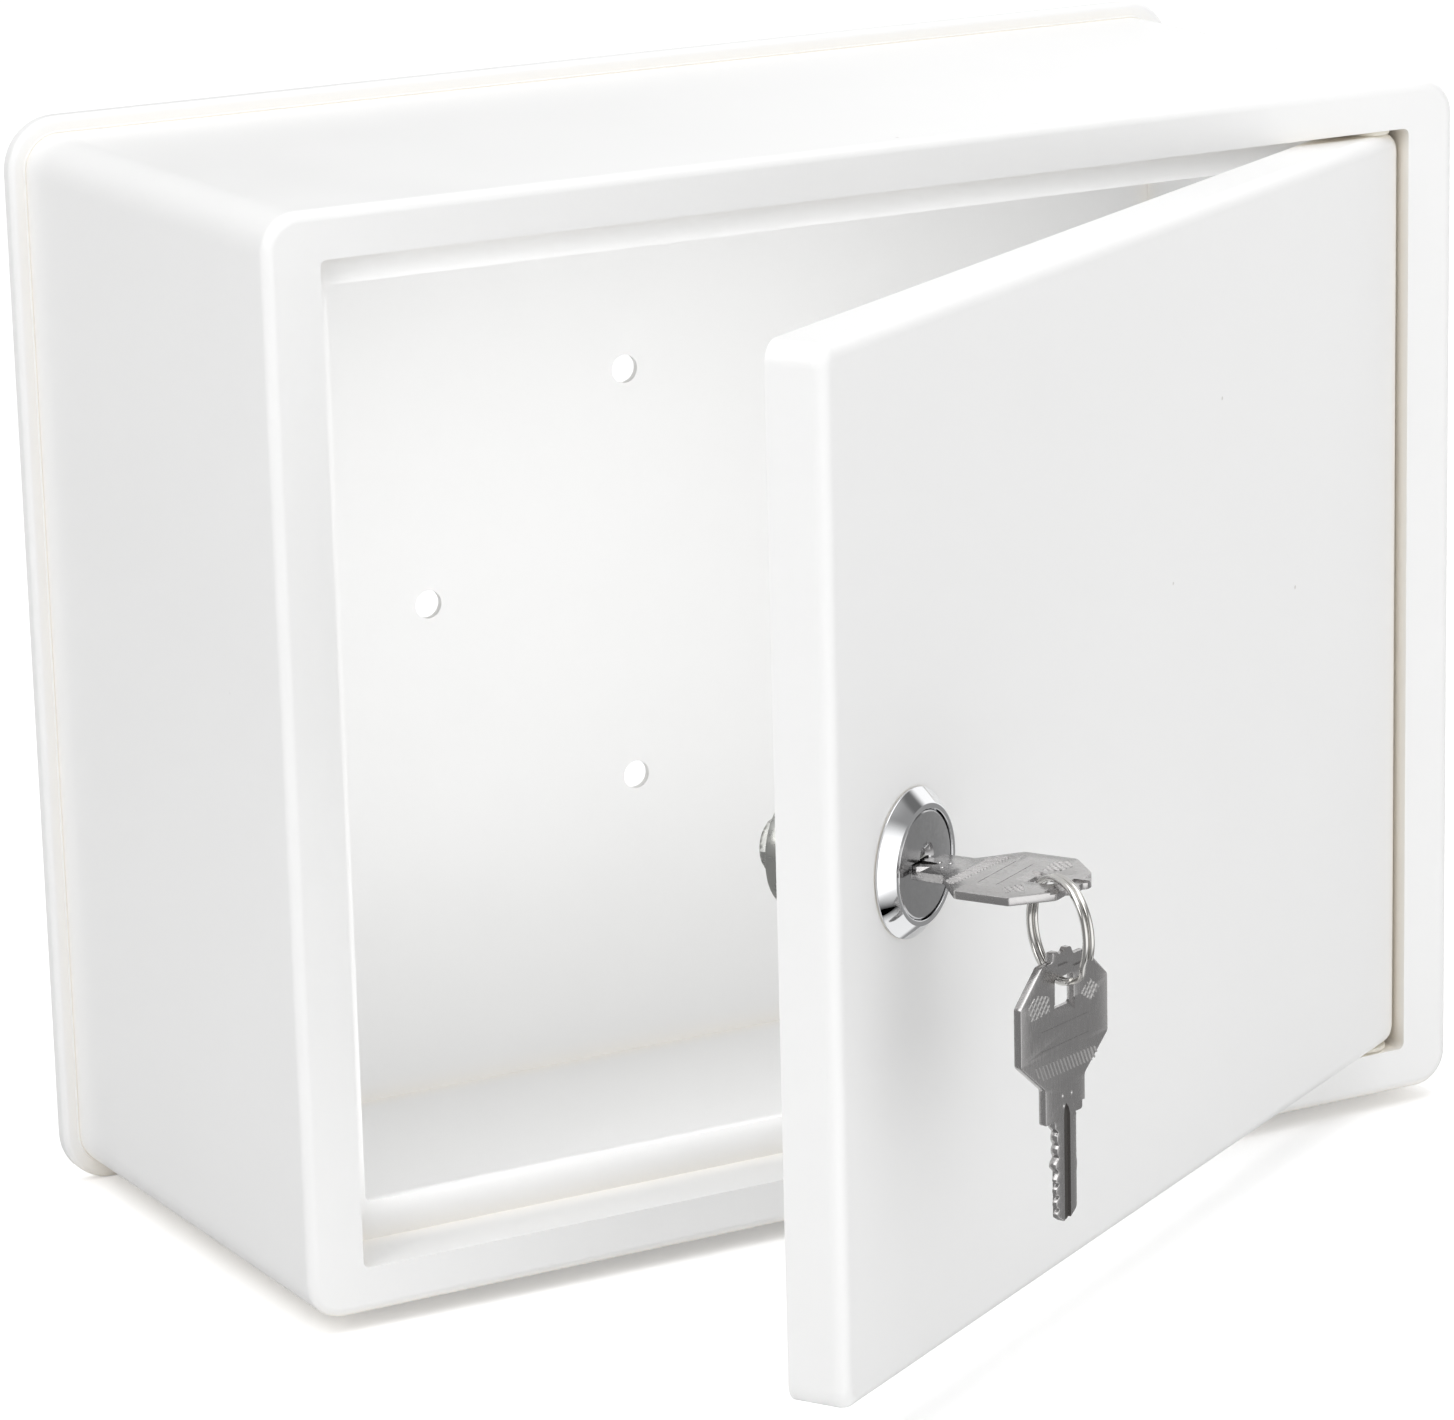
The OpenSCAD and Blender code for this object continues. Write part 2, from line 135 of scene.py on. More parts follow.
world = bpy.data.worlds.new("studio")
scene.world = world
tree = shader_tree(world)
direction = tree.nodes.new("ShaderNodeTexCoord")
dim = tree.nodes.new("ShaderNodeValue")
dim.outputs[0].default_value = ROOM_LEVEL
room = dim.outputs[0]
for towards, begins, full, light in PANELS:
    room = panel(tree, room, direction.outputs["Generated"], towards, begins, full, light)
ambient = tree.nodes.new("ShaderNodeBackground")
ambient.inputs["Strength"].default_value = 1
white = tree.nodes.new("ShaderNodeBackground")
white.inputs["Color"].default_value = (1, 1, 1, 1)
seen = tree.nodes.new("ShaderNodeLightPath")
mix = tree.nodes.new("ShaderNodeMixShader")
out = tree.nodes.new("ShaderNodeOutputWorld")
tree.links.new(room, ambient.inputs["Color"])
tree.links.new(seen.outputs["Is Camera Ray"], mix.inputs["Fac"])
tree.links.new(ambient.outputs[0], mix.inputs[1])
tree.links.new(white.outputs[0], mix.inputs[2])
tree.links.new(mix.outputs[0], out.inputs["Surface"])

softbox("light_top", (-0.1, -0.2, 1.4), (0, -0.05, 0), (1.4, 1.2), 8.2)
softbox("light_left", (-0.65, -0.3, 0.5), (-0.05, -0.04, 0), (0.5, 0.5), 1.7)
softbox("light_inside", (0, -0.078, 0), (0, 0, 0), (0.17, 0.135), 0.057)

bpy.ops.mesh.primitive_plane_add(size=8, location=(0, 0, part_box("back_panel")[0].z))
floor = bpy.context.object
floor.name = "floor"
paper = bpy.data.materials.new("floor_paper")
tree = shader_tree(paper)
diffuse = tree.nodes.new("ShaderNodeBsdfDiffuse")
diffuse.inputs["Color"].default_value = (FLOOR_WHITE, FLOOR_WHITE, FLOOR_WHITE, 1)
lit = tree.nodes.new("ShaderNodeEmission")
seen = tree.nodes.new("ShaderNodeLightPath")
tree.links.new(mapped(tree, seen.outputs["Is Camera Ray"], 0, 1, to_high=FLOOR_LIFT), lit.inputs["Strength"])
add = tree.nodes.new("ShaderNodeAddShader")
out = tree.nodes.new("ShaderNodeOutputMaterial")
tree.links.new(diffuse.outputs[0], add.inputs[0])
tree.links.new(lit.outputs[0], add.inputs[1])
tree.links.new(add.outputs[0], out.inputs["Surface"])
floor.data.materials.append(paper)
floor.visible_glossy = False


# ---- Body, recess and back panel ----
# Folded 1.2 mm sheet steel, spot-welded and powder-coated white. The recess is pushed in behind
# the front opening and the back panel clips over the body with its rim standing proud.

BODY_W, BODY_H, BODY_R, RIM_D, SEAM_GAP = 200.0, 161.0, 5.5, 2.4, 0.3
BEAD_R, BEAD_BACK, CORNER_STEPS = 0.24, 0.12, 12
WIRE_SIDES = 12
MM = Matrix.Scale(0.001, 4)


def mixed(tree, factor, colour, other):
    """Output that goes from a colour to another colour or output."""
    node = tree.nodes.new("ShaderNodeMix")
    node.data_type = "RGBA"
    first, second, result = node.inputs[6], node.inputs[7], node.outputs[2]
    first.default_value = (*colour, 1)
    if isinstance(other, tuple):
        second.default_value = (*other, 1)
    else:
        tree.links.new(other, second)
    tree.links.new(factor, node.inputs["Factor"])
    return result


def surface(name, tones, grain, rough, relief, metallic=0.0, stretch=(1, 1, 1), along=None):
    """Worn finish: tone and roughness drift with a noise, and a finer noise lifts the surface.
    tones are two colours, grain the noise's cells per metre, rough two roughnesses,
    relief the cells per metre and the height in metres; along names a UV map to follow."""
    material = bpy.data.materials.new(name)
    tree = shader_tree(material)
    shader = tree.nodes.new("ShaderNodeBsdfPrincipled")
    shader.name = "shader"
    shader.inputs["Metallic"].default_value = metallic
    end = tree.nodes.new("ShaderNodeOutputMaterial")
    tree.links.new(shader.outputs[0], end.inputs["Surface"])
    if along:
        where = tree.nodes.new("ShaderNodeUVMap")
        where.uv_map = along
        point = where.outputs["UV"]
    else:
        where = tree.nodes.new("ShaderNodeTexCoord")
        point = where.outputs["Object"]
    scaled = tree.nodes.new("ShaderNodeMapping")
    scaled.inputs["Scale"].default_value = stretch
    tree.links.new(point, scaled.inputs["Vector"])

    def noise(cells, detail):
        node = tree.nodes.new("ShaderNodeTexNoise")
        node.inputs["Scale"].default_value = cells
        node.inputs["Detail"].default_value = detail
        tree.links.new(scaled.outputs["Vector"], node.inputs["Vector"])
        return node.outputs["Fac"]

    tree.links.new(mixed(tree, noise(grain, 5), *tones), shader.inputs["Base Color"])
    tree.links.new(mapped(tree, noise(grain * 3, 3), 0.3, 0.7, *rough), shader.inputs["Roughness"])
    bump = tree.nodes.new("ShaderNodeBump")
    bump.inputs["Strength"].default_value = 1
    bump.inputs["Distance"].default_value = relief[1]
    tree.links.new(noise(relief[0], 2), bump.inputs["Height"])
    tree.links.new(bump.outputs["Normal"], shader.inputs["Normal"])
    return material


def node_tree(name, inputs):
    """Empty geometry tree with these named inputs, ending in Realize Instances and Set Material."""
    tree = bpy.data.node_groups.new(name, "GeometryNodeTree")
    tree.interface.new_socket("Geometry", in_out="INPUT", socket_type="NodeSocketGeometry")
    for label, kind in inputs:
        tree.interface.new_socket(label, in_out="INPUT", socket_type="NodeSocket" + kind)
    tree.interface.new_socket("Material", in_out="INPUT", socket_type="NodeSocketMaterial")
    tree.interface.new_socket("Geometry", in_out="OUTPUT", socket_type="NodeSocketGeometry")
    start, end = tree.nodes.new("NodeGroupInput"), tree.nodes.new("NodeGroupOutput")
    real = tree.nodes.new("GeometryNodeRealizeInstances")
    paint = tree.nodes.new("GeometryNodeSetMaterial")
    tree.links.new(real.outputs[0], paint.inputs["Geometry"])
    tree.links.new(start.outputs["Material"], paint.inputs["Material"])
    tree.links.new(paint.outputs[0], end.inputs[0])
    return tree, start, real


def as_object(data):
    holder = bpy.data.objects.new(data.name, data)
    scene.collection.objects.link(holder)
    return holder


def plain(holder):
    """Mesh of an object with its modifiers applied. The object is removed."""
    bpy.context.view_layer.update()
    mesh = bpy.data.meshes.new_from_object(holder.evaluated_get(bpy.context.evaluated_depsgraph_get()))
    bpy.data.objects.remove(holder)
    return mesh


def grown(tree, item, **values):
    """Plain mesh of what a tree makes from an item."""
    holder = as_object(item)
    grow = holder.modifiers.new("grow", "NODES")
    grow.node_group = tree
    for socket in tree.interface.items_tree:
        if socket.in_out == "INPUT" and socket.name in values:
            grow[socket.identifier] = values[socket.name]
    return plain(holder)


wire_on_path, start, real = node_tree("wire_on_path", [("Radius", "Float")])
path = wire_on_path.nodes.new("GeometryNodeMeshToCurve")
wire = wire_on_path.nodes.new("GeometryNodeCurvePrimitiveCircle")
wire.inputs["Resolution"].default_value = WIRE_SIDES
tube = wire_on_path.nodes.new("GeometryNodeCurveToMesh")
tube.inputs["Fill Caps"].default_value = True
wire_on_path.links.new(start.outputs["Geometry"], path.inputs[0])
wire_on_path.links.new(start.outputs["Radius"], wire.inputs["Radius"])
wire_on_path.links.new(path.outputs[0], tube.inputs["Curve"])
wire_on_path.links.new(wire.outputs[0], tube.inputs["Profile Curve"])
wire_on_path.links.new(tube.outputs[0], real.inputs[0])


def track(points):
    mesh = bpy.data.meshes.new("track")
    mesh.from_pydata(points, [(i, i + 1) for i in range(len(points) - 1)], [])
    return mesh


def as_bmesh(mesh):
    bm = bmesh.new()
    bm.from_mesh(mesh)
    return bm


def as_mesh(bm, name):
    mesh = bpy.data.meshes.new(name)
    bm.to_mesh(mesh)
    bm.free()
    return mesh


def placed(mesh, paint, body, stands_for, sharp):
    """Object of a finished mesh, smooth up to the sharp angle, riding on its body."""
    mesh.shade_smooth()
    mesh.set_sharp_from_angle(angle=math.radians(sharp))
    mesh.materials.append(paint)
    piece = as_object(mesh)
    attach(piece, body)
    if stands_for:
        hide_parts(*stands_for)
    return piece


def settle(bm, name, place, paint, body, stands_for=(), sharp=32):
    """Piece from a mesh in millimetres: doubles merged, faces outwards, put in its place."""
    bmesh.ops.remove_doubles(bm, verts=bm.verts, dist=1e-4)
    bmesh.ops.recalc_face_normals(bm, faces=bm.faces)
    bm.transform(place)
    return placed(as_mesh(bm, name), paint, body, stands_for, sharp)


white_coat = surface("white_powder_coat", ((0.865, 0.865, 0.862), (0.895, 0.895, 0.892)), 14, (0.28, 0.36),
                     (900, 0.000012))
tree = white_coat.node_tree
shader = tree.nodes["shader"]
shader.inputs["Coat Weight"].default_value = 0.15
shader.inputs["Coat Roughness"].default_value = 0.2
tones = shader.inputs["Base Color"].links[0].from_socket
# Painted light: where the coat's own occlusion within 7 mm is deep, in gaps, seams and inner corners, its
# colour turns a brighter warm cream that stands in for light in the gaps; the grey specks laid over it are
# dust.
crevice = tree.nodes.new("ShaderNodeAmbientOcclusion")
crevice.samples = 3
crevice.inputs["Distance"].default_value = 0.007
gap_painted_light = mixed(tree, mapped(tree, crevice.outputs["AO"], 0.15, 0.65), (0.98, 0.92, 0.82), tones)
specks = tree.nodes.new("ShaderNodeTexVoronoi")
specks.inputs["Scale"].default_value = 55
spot = tree.nodes.new("ShaderNodeTexCoord")
tree.links.new(spot.outputs["Object"], specks.inputs["Vector"])
dust = mapped(tree, specks.outputs["Distance"], 0.012, 0.02)
tree.links.new(mixed(tree, dust, (0.66, 0.65, 0.63), gap_painted_light), shader.inputs["Base Color"])

for name in ("body_shell", "door_frame", "back_panel"):
    cad[name].data.materials.clear()
    cad[name].data.materials.append(white_coat)

seam = []
for sx, sz, start in ((1, 1, 0), (-1, 1, 90), (-1, -1, 180), (1, -1, 270)):
    for k in range(CORNER_STEPS + 1):
        a = math.radians(start + 90 * k / CORNER_STEPS)
        seam.append((sx * (BODY_W / 2 - BODY_R) + (BODY_R + SEAM_GAP / 2) * math.cos(a), BEAD_BACK - RIM_D,
                     sz * (BODY_H / 2 - BODY_R) + (BODY_R + SEAM_GAP / 2) * math.sin(a)))
bead = as_bmesh(grown(wire_on_path, track(seam + seam[:1]), Radius=BEAD_R, Material=white_coat))
settle(bead, "coating_in_rear_seam", MM, white_coat, "box", sharp=60)


# ---- Hinge pins and washers ----
# Two zinc-plated steel pins with domed heads, riveted through the recess above and below the
# door, each with a moulded nylon washer that keeps the door clear of the sheet.

PIN_D, PIN_HEAD_D, PIN_HEAD_T = 4.0, 5.6, 1.5


def rounded(corners, steps=4):
    """Profile whose (along, radius, rounding) corners are turned to arcs."""
    profile = []
    for i, (y, r, e) in enumerate(corners):
        here = Vector((y, r))
        if e == 0:
            profile.append((y, r))
            continue
        back = (Vector(corners[i - 1][:2]) - here).normalized()
        on = (Vector(corners[(i + 1) % len(corners)][:2]) - here).normalized()
        half = back.angle(on) / 2
        start, stop = here + back * e / math.tan(half), here + on * e / math.tan(half)
        centre = here + (back + on).normalized() * e / math.sin(half)
        first, last = start - centre, stop - centre
        for k in range(steps + 1):
            arm = first.lerp(last, k / steps).normalized() * e
            profile.append(tuple(centre + arm))
    return profile


def turned(bm, profile, sides=72):
    """Adds a closed solid turned round the Y axis from (along, radius) points."""
    rings = []
    for y, r in profile:
        if r < 1e-6:
            rings.append([bm.verts.new((0, y, 0))] * sides)
        else:
            rings.append([bm.verts.new((r * math.cos(a), y, r * math.sin(a)))
                          for a in (i * math.tau / sides for i in range(sides))])
    for one, two in zip(rings, rings[1:] + rings[:1]):
        for i in range(sides):
            j = (i + 1) % sides
            corners = list(dict.fromkeys((one[i], two[i], two[j], one[j])))
            if len(corners) > 2:
                bm.faces.new(corners)


def softened(node, name, width, paint, body, segments=2):
    """Copy of a CAD node, in metres, with its sharp edges broken by a small rounding."""
    bm = as_bmesh(cad[node].data)
    bmesh.ops.remove_doubles(bm, verts=bm.verts, dist=1e-6)
    bmesh.ops.dissolve_limit(bm, angle_limit=math.radians(0.5), verts=bm.verts, edges=bm.edges)
    holder = as_object(as_mesh(bm, "sharp_copy"))
    bevel = holder.modifiers.new("broken_edges", "BEVEL")
    bevel.width = width
    bevel.segments = segments
    bevel.limit_method = "ANGLE"
    bevel.angle_limit = math.radians(30)
    copy = as_mesh(as_bmesh(plain(holder)), name)
    return placed(copy, paint, body, [node], 40)


pin_zinc = surface("zinc_plated_pin", ((0.5, 0.5, 0.49), (0.68, 0.68, 0.66)), 400, (0.25, 0.45),
                   (2500, 0.000006), 1.0)
nylon = surface("moulded_nylon", ((0.74, 0.71, 0.62), (0.84, 0.81, 0.74)), 260, (0.4, 0.55), (1800, 0.00001))
for name, way in (("hinge_pin_upper", 1), ("hinge_pin_lower", -1)):
    low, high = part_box(name)
    length = (high.z - low.z) * 1000
    under_head = length - PIN_HEAD_T
    bm = bmesh.new()
    turned(bm, rounded([
        (0, 0, 0), (0, PIN_D / 2, 0.35), (under_head, PIN_D / 2, 0),
        (under_head, PIN_HEAD_D / 2, 0.15), (length, PIN_HEAD_D / 2, 0.9), (length, 0, 0)]), 48)
    foot = Vector(((low.x + high.x) / 2, (low.y + high.y) / 2, low.z if way > 0 else high.z))
    upright = Matrix.Translation(foot) @ Matrix.Rotation(way * math.pi / 2, 4, "X") @ MM
    settle(bm, name + "_turned", upright, pin_zinc, "box", [name])
softened("hinge_washers", "hinge_washers_moulded", 0.00012, nylon, "door")


# ---- Door ----
# Pan of the same sheet with rounded edges, powder-coated with the body, bored above and
# below for the pins and punched near its free edge for the lock.

cad["door_panel"].data.materials.clear()
cad["door_panel"].data.materials.append(white_coat)


# ---- Lock housing ----
# Die-cast and chrome-plated: a coned bezel round a shallow recess, and behind it a threaded
# barrel with two flats. A lug on the end of the barrel stops the washer of the cam.

BEZEL_OUT, BEZEL_D, BEZEL_RING_D, BEZEL_EDGE_T = 2.3, 20.6, 16.6, 0.45
FOOT_T, FOOT_IN, FOOT_LEAN = 0.15, 0.35, 0.02
RECESS_D, RECESS_T = 15.15, 1.25
BARREL_D, BARREL_FLATS, BARREL_L, BORE_D = 18.0, 16.0, 14.8, 11.1
THREAD_PITCH, THREAD_T, THREAD_RUNOUT = 1.0, 0.4, 0.8
LUG_IN, LUG_OUT, LUG_L, LUG_ARC = 7.7, 8.6, 0.9, 140
NOTHING = 0.0001

turn = joints["plug_turn"]
outward = Vector(turn["axis"])
LOCK = (Matrix.Translation(Vector(turn["pos_m"]))
        @ Matrix.Rotation(math.atan2(outward.x, -outward.y), 4, "Z") @ MM)


def thread(angle, y, pitch=THREAD_PITCH):
    """How far the flank of the thread is below its crest, from 0 to 1."""
    turns = y / pitch - angle / math.tau
    return min(1, max(0, 1.7 * abs(2 * (turns - math.floor(turns)) - 1) - 0.35))


def shell(bm, levels, outer, inner, sides=96):
    """Adds a closed tube round the Y axis whose radii follow the angle and the depth."""
    walls = []
    for radius in (outer, inner):
        walls.append([[bm.verts.new((radius(a, y) * math.cos(a), y, radius(a, y) * math.sin(a)))
                       for a in (i * math.tau / sides for i in range(sides))] for y in levels])
    outside, inside = walls
    for i in range(sides):
        j = (i + 1) % sides
        for wall in walls:
            for one, two in zip(wall, wall[1:]):
                bm.faces.new((one[i], two[i], two[j], one[j]))
        for k in (0, -1):
            bm.faces.new((outside[k][i], inside[k][i], inside[k][j], outside[k][j]))


def steps_between(start, stop, step):
    count = max(1, round((stop - start) / step))
    return [start + (stop - start) * k / count for k in range(count + 1)]


def block(rings, name="item"):
    """Closed mesh through rings of points, all with the same number of points."""
    bm = bmesh.new()
    loops = [[bm.verts.new(p) for p in ring] for ring in rings]
    for one, two in zip(loops, loops[1:]):
        for i in range(len(one)):
            j = (i + 1) % len(one)
            bm.faces.new((one[i], one[j], two[j], two[i]))
    bm.faces.new(loops[0])
    bm.faces.new(loops[-1])
    bmesh.ops.recalc_face_normals(bm, faces=bm.faces)
    return as_mesh(bm, name)


def arc(radius, y, sweep, steps=16):
    """Points round the Y axis on the side away from +X."""
    return [(radius * math.cos(a), y, radius * math.sin(a))
            for a in (math.radians(180 - sweep / 2 + sweep * k / steps) for k in range(steps + 1))]


def barrel_outside(a, y):
    runout = min(1, max(0, (BARREL_L - y) / THREAD_RUNOUT))
    flat = BARREL_FLATS / 2 / max(abs(math.sin(a)), 1e-6)
    return min(BARREL_D / 2 - THREAD_T * thread(a, y) * runout, flat)


chrome = surface("bright_chrome", ((0.74, 0.75, 0.76), (0.8, 0.8, 0.81)), 120, (0.05, 0.1),
                 (1500, 0.0000015), 1.0)
recess_y, foot_r = -BEZEL_OUT + RECESS_T, BEZEL_D / 2 - FOOT_IN
bm = bmesh.new()
turned(bm, rounded([
    (0, BORE_D / 2, 0), (recess_y, BORE_D / 2, 0.1), (recess_y, RECESS_D / 2, 0.1),
    (-BEZEL_OUT, RECESS_D / 2, 0.08), (-BEZEL_OUT, BEZEL_RING_D / 2, 0.12),
    (-BEZEL_EDGE_T, BEZEL_D / 2, 0.15), (-FOOT_T - 0.05, BEZEL_D / 2 - FOOT_LEAN, 0.04),
    (-FOOT_T, foot_r, 0.04), (0, foot_r, 0)]), 144)
shell(bm, steps_between(-0.1, BARREL_L, THREAD_PITCH / 7), barrel_outside, lambda a, y: BORE_D / 2)
bm.from_mesh(block([arc(LUG_IN, y, LUG_ARC) + arc(LUG_OUT, y, -LUG_ARC)
                    for y in (BARREL_L - 0.05, BARREL_L + LUG_L)], "lug"))
settle(bm, "lock_bezel_and_barrel", LOCK, chrome, "door", ["lock_housing"])


# ---- Toothed washer and nut ----
# Spring-steel washer with twisted teeth that bite the paint and the nut, and a pressed
# hexagon nut on the thread of the barrel, which clamps the housing to the door.

DOOR_T, WASHER_T, WASHER_IN, WASHER_OUT, WASHER_SHEET = 1.2, 0.8, 9.15, 10.9, 0.36
TEETH, TOOTH_FROM, TOOTH_L, TOOTH_W, TOOTH_T, TOOTH_TWIST, TOOTH_STEPS = 16, 10.5, 1.65, 0.62, 0.14, 24, 4
NUT_T, NUT_AF, NUT_CORNER, NUT_FACE_R = 3.5, 22.0, 12.3, 11.5
NUT_FROM = DOOR_T + WASHER_T
SQUARE = ((-1, -1), (1, -1), (1, 1), (-1, 1))

around, start, real = node_tree("items_around_axis", [("Count", "Int")])
circle = around.nodes.new("GeometryNodeMeshCircle")
circle.inputs["Radius"].default_value = NOTHING
index = around.nodes.new("GeometryNodeInputIndex")
share = around.nodes.new("ShaderNodeMath")
share.operation = "DIVIDE"
angle = around.nodes.new("ShaderNodeMath")
angle.operation = "MULTIPLY"
angle.inputs[1].default_value = math.tau
spin = around.nodes.new("ShaderNodeCombineXYZ")
place = around.nodes.new("GeometryNodeInstanceOnPoints")
around.links.new(start.outputs["Count"], circle.inputs["Vertices"])
around.links.new(index.outputs[0], share.inputs[0])
around.links.new(start.outputs["Count"], share.inputs[1])
around.links.new(share.outputs[0], angle.inputs[0])
around.links.new(angle.outputs[0], spin.inputs["Y"])
around.links.new(circle.outputs[0], place.inputs["Points"])
around.links.new(start.outputs["Geometry"], place.inputs["Instance"])
around.links.new(spin.outputs[0], place.inputs["Rotation"])
around.links.new(place.outputs[0], real.inputs[0])

along_line, start, real = node_tree("items_in_a_row", [("Count", "Int"), ("Step", "Vector")])
line = along_line.nodes.new("GeometryNodeMeshLine")
place = along_line.nodes.new("GeometryNodeInstanceOnPoints")
along_line.links.new(start.outputs["Count"], line.inputs["Count"])
along_line.links.new(start.outputs["Step"], line.inputs["Offset"])
along_line.links.new(line.outputs[0], place.inputs["Points"])
along_line.links.new(start.outputs["Geometry"], place.inputs["Instance"])
along_line.links.new(place.outputs[0], real.inputs[0])


def tooth_section(k):
    """Rectangle that shrinks and twists towards the tip of a tooth."""
    lean = math.radians(TOOTH_TWIST * k / TOOTH_STEPS - 2)
    r, wide = TOOTH_FROM + TOOTH_L * k / TOOTH_STEPS, TOOTH_W - 0.05 * k
    return [(r, TOOTH_T * t * math.cos(lean) + wide * s * math.sin(lean),
             wide * s * math.cos(lean) - TOOTH_T * t * math.sin(lean)) for s, t in SQUARE]


def hexagon(across_flats, angle):
    return across_flats / 2 / math.cos(angle % (math.pi / 3) - math.pi / 6)


def nut_outside(a, y):
    """Hexagon with its corners turned down towards both faces."""
    from_washer, from_face = y - NUT_FROM, NUT_FROM + NUT_T - y
    return min(hexagon(NUT_AF, a), NUT_CORNER - max(0, 1.1 - from_face) * 0.9,
               NUT_FACE_R + 0.2 + from_washer * 2, NUT_FACE_R + from_face * 2)


def nut_inside(a, y):
    """Thread that fades out at both faces."""
    fade = min(1, (y - NUT_FROM) * 3, (NUT_FROM + NUT_T - y) * 3)
    return BARREL_D / 2 + 0.06 + 0.3 * (1 - thread(a, y)) * fade


zinc = surface("zinc_plated_steel", ((0.46, 0.47, 0.46), (0.62, 0.62, 0.58)), 300, (0.22, 0.42),
               (3000, 0.000004), 1.0)
half_sheet = WASHER_SHEET / 2
bm = bmesh.new()
turned(bm, rounded([(-half_sheet, WASHER_IN, 0.05), (-half_sheet, WASHER_OUT, 0.05),
                    (half_sheet, WASHER_OUT, 0.05), (half_sheet, WASHER_IN, 0.05)], 2), 96)
tooth = block([tooth_section(k) for k in range(TOOTH_STEPS + 1)], "tooth")
bm.from_mesh(grown(around, tooth, Count=TEETH, Material=zinc))
settle(bm, "lock_washer_toothed", LOCK @ Matrix.Translation((0, DOOR_T + WASHER_T / 2, 0)), zinc, "door",
       ["lock_washer"])

bm = bmesh.new()
shell(bm, [NUT_FROM + y for y in (0, 0.12, *steps_between(0.25, NUT_T - 0.25, 0.15), NUT_T - 0.12, NUT_T)],
      nut_outside, nut_inside, 144)
settle(bm, "lock_nut_threaded", LOCK, chrome, "door", ["lock_nut"])


# ---- Plug ----
# Zinc casting that turns in the barrel: a flat satin face with the keyway and the funnel over
# it, slots across for the wafers, and a square tail bored for the cam screw.

FACE_OUT, FACE_D, FACE_BEVEL, PLUG_D, HEAD_T = 2.15, 14.75, 0.22, 11.0, 1.0
TAIL, TAIL_L, TAIL_BEVEL, BORE_R, BORE_DEPTH = 6.0, 2.9, 0.4, 1.65, 1.5
KEY_OFF, SLOT_W, SLOT_T, SLOT_L, SHOULDER = 0.8, 5.3, 1.5, 13.0, 2.75
FUNNEL_X, FUNNEL_Z = 0.5, 1.05
WAFERS, WAFER_PITCH, FIRST_CUT = 6, 1.8, 1.66
WAFER_FROM = FIRST_CUT + WAFER_PITCH - SHOULDER
WAFER_SLOT_T, WAFER_SLOT_W = 0.7, 5.1


def cuboid(low, high):
    (x0, y0, z0), (x1, y1, z1) = low, high
    return [[(x0, y, z0), (x1, y, z0), (x1, y, z1), (x0, y, z1)] for y in (y0, y1)]


def carved(mesh, cutters, how="DIFFERENCE"):
    """Mesh with each of the cutter meshes taken out of it, or with only what they share."""
    body = as_object(mesh)
    tools = [as_object(cutter) for cutter in cutters]
    for tool in tools:
        cut = body.modifiers.new("cut", "BOOLEAN")
        cut.object = tool
        cut.solver = "EXACT"
        cut.operation = how
    done = plain(body)
    for tool in tools:
        bpy.data.objects.remove(tool)
    return done


def cleaned(bm, name):
    """Mesh with its doubles merged and its faces outwards."""
    bmesh.ops.remove_doubles(bm, verts=bm.verts, dist=1e-4)
    bmesh.ops.recalc_face_normals(bm, faces=bm.faces)
    return as_mesh(bm, name)


def revolved(profile, sides, name):
    bm = bmesh.new()
    turned(bm, profile, sides)
    return cleaned(bm, name)


def octagon(half, cut, y):
    """Square section with its corners cut."""
    near = half - cut
    return [(x, y, z) for x, z in ((-near, -half), (near, -half), (half, -near), (half, near),
                                   (near, half), (-near, half), (-half, near), (-half, -near))]


satin = surface("satin_plug_face", ((0.48, 0.48, 0.485), (0.55, 0.55, 0.555)), 700, (0.12, 0.2),
                (4000, 0.000001), 1.0)
under_head = -FACE_OUT + HEAD_T
body = revolved(rounded([
    (-FACE_OUT, 0, 0), (-FACE_OUT, FACE_D / 2 - FACE_BEVEL, 0.03), (-FACE_OUT + 0.15, FACE_D / 2, 0.03),
    (under_head, FACE_D / 2, 0.1), (under_head, PLUG_D / 2, 0.1),
    (BARREL_L, PLUG_D / 2, 0.2), (BARREL_L, 0, 0)]), 120, "plug")
flares = ((-FACE_OUT - 0.1, 0.3), (-FACE_OUT + 0.18, 0.02), (-FACE_OUT + 0.2, 0), (SLOT_L, 0))
keyway = block([[(-KEY_OFF + sx * (SLOT_W / 2 + flare), y, sz * (SLOT_T / 2 + flare)) for sx, sz in SQUARE]
                for y, flare in flares], "keyway")
funnel = revolved(rounded([
    (-FACE_OUT - 0.2, 0, 0), (-FACE_OUT - 0.2, 2.15, 0), (-FACE_OUT, 1.95, 0), (-FACE_OUT + 0.25, 1.6, 0.15),
    (-FACE_OUT + 0.85, 1.0, 0.3), (-FACE_OUT + 0.9, 0, 0)]), 48, "funnel")
funnel.transform(Matrix.Translation((FUNNEL_X, 0, FUNNEL_Z)))
pocket = block(cuboid((-1.3, -1.85, 0), (1.3, -0.95, SLOT_T / 2 + 0.3)), "shutter_pocket")
wafer_slot = block(cuboid((-8, WAFER_FROM - WAFER_SLOT_T / 2, -WAFER_SLOT_W / 2),
                          (8, WAFER_FROM + WAFER_SLOT_T / 2, WAFER_SLOT_W / 2)), "wafer_slot")
slots = grown(along_line, wafer_slot, Count=WAFERS, Step=(0, WAFER_PITCH, 0), Material=satin)
bore = revolved([(BARREL_L - BORE_DEPTH, 0), (BARREL_L - BORE_DEPTH, BORE_R), (BARREL_L + 5, BORE_R),
                 (BARREL_L + 5, 0)], 32, "bore")
